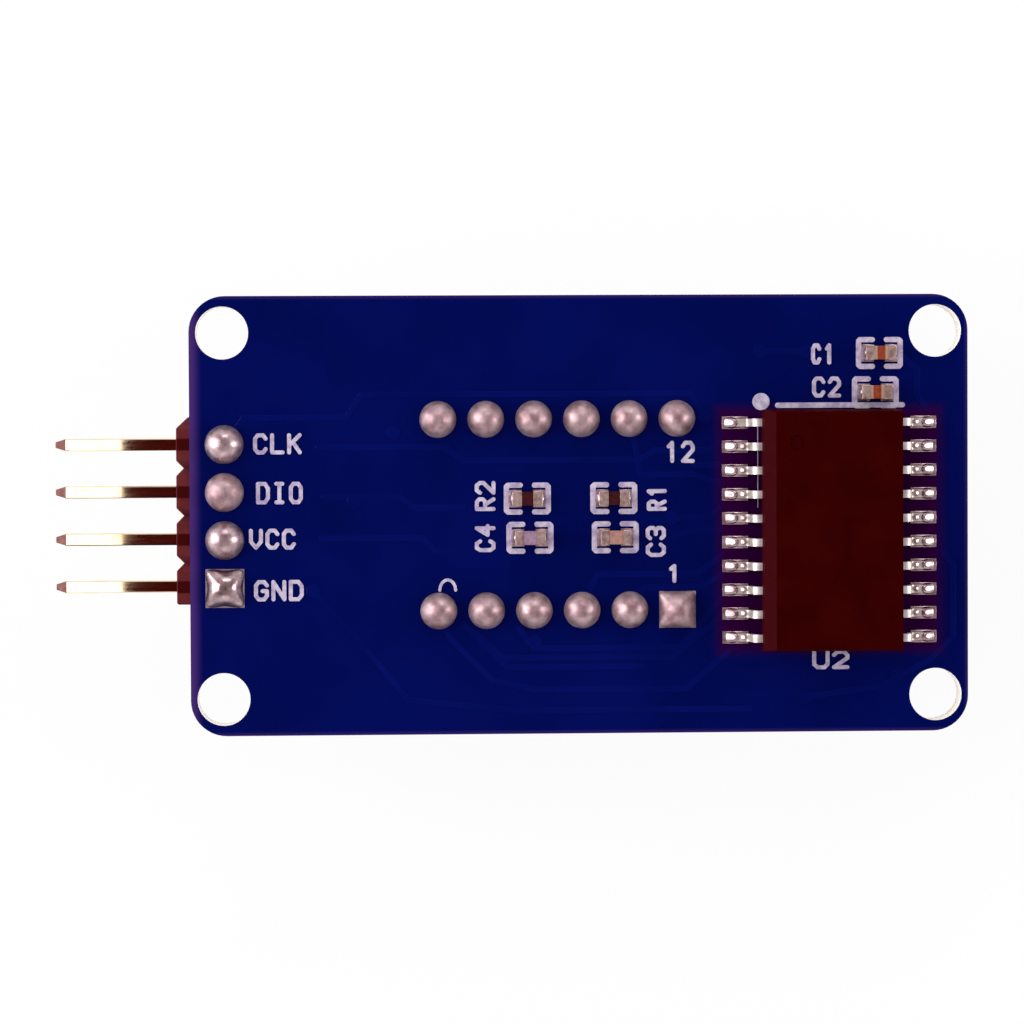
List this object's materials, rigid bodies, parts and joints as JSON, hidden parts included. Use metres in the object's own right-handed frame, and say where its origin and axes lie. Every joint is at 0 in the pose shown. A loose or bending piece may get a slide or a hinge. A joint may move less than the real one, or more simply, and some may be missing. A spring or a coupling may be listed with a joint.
{
  "type": "seven segment display module",
  "caption": "Clock display module: a circuit board with a driver chip, chip resistors and capacitors and a right-angle pin header, over a seven segment display.",
  "frame": {"origin": "on the plane of the display's face, under the middle of the four mounting holes", "axes": "+X along the board away from the header, +Y towards the display's pin 12 row, +Z from the display face to the component side"},
  "size_m": [0.0487, 0.0232, 0.0112],
  "materials": {
    "solder_mask": "glossy navy solder mask over glass epoxy laminate",
    "plated_copper": "plated copper, mostly under solder",
    "solder": "bright tin-lead solder",
    "header_plastic": "moulded, brown-red",
    "gold_flash": "gold-flashed brass",
    "moulded_epoxy": "fine matt moulding",
    "tinned_leads": "matt tin plating",
    "tinned_caps": "matt tin plating",
    "tinned_pins": "tin plating",
    "resistor_overcoat": "dark glass overcoat on alumina",
    "brown_ceramic": "fired, fine grained",
    "pink_ceramic": "fired, fine grained",
    "grey_ceramic": "fired, fine grained",
    "white_shell": "moulded, white",
    "black_film": "fine matt film",
    "milky_epoxy": "cast, slightly see-through",
    "bare_laminate": "bare glass epoxy laminate",
    "light_die": "semiconductor die",
    "silkscreen": "printed white legend ink"
  },
  "bodies": {
    "root": {"circuit_board": "solder_mask", "plated_holes_header": "plated_copper", "plated_holes_display": "plated_copper", "driver_lands": "plated_copper", "chip_lands": "plated_copper", "header_housing": "header_plastic", "header_pin_clk": "gold_flash", "header_pin_dio": "gold_flash", "header_pin_vcc": "gold_flash", "header_pin_gnd": "gold_flash", "header_solder_clk": "solder", "header_solder_dio": "solder", "header_solder_vcc": "solder", "header_solder_gnd": "solder", "driver_body": "moulded_epoxy", "driver_leads_left": "tinned_leads", "driver_leads_right": "tinned_leads", "driver_solder_left": "solder", "driver_solder_right": "solder", "chip_r1": "resistor_overcoat", "chip_r2": "resistor_overcoat", "chip_c1": "brown_ceramic", "chip_c2": "brown_ceramic", "chip_c3": "pink_ceramic", "chip_c4": "grey_ceramic", "chip_r1_end_caps": "tinned_caps", "chip_r2_end_caps": "tinned_caps", "chip_c1_end_caps": "tinned_caps", "chip_c2_end_caps": "tinned_caps", "chip_c3_end_caps": "tinned_caps", "chip_c4_end_caps": "tinned_caps", "chip_r1_solder": "solder", "chip_r2_solder": "solder", "chip_c1_solder": "solder", "chip_c2_solder": "solder", "chip_c3_solder": "solder", "chip_c4_solder": "solder", "display_shell": "white_shell", "display_face": "black_film", "display_casting": "milky_epoxy", "display_inner_board": "bare_laminate", "display_dies": "light_die", "display_pin_1": "tinned_pins", "display_pin_2": "tinned_pins", "display_pin_3": "tinned_pins", "display_pin_4": "tinned_pins", "display_pin_5": "tinned_pins", "display_pin_6": "tinned_pins", "display_pin_7": "tinned_pins", "display_pin_8": "tinned_pins", "display_pin_9": "tinned_pins", "display_pin_10": "tinned_pins", "display_pin_11": "tinned_pins", "display_pin_12": "tinned_pins", "display_solder_lower_row": "solder", "display_solder_upper_row": "solder"}
  },
  "joints": []
}
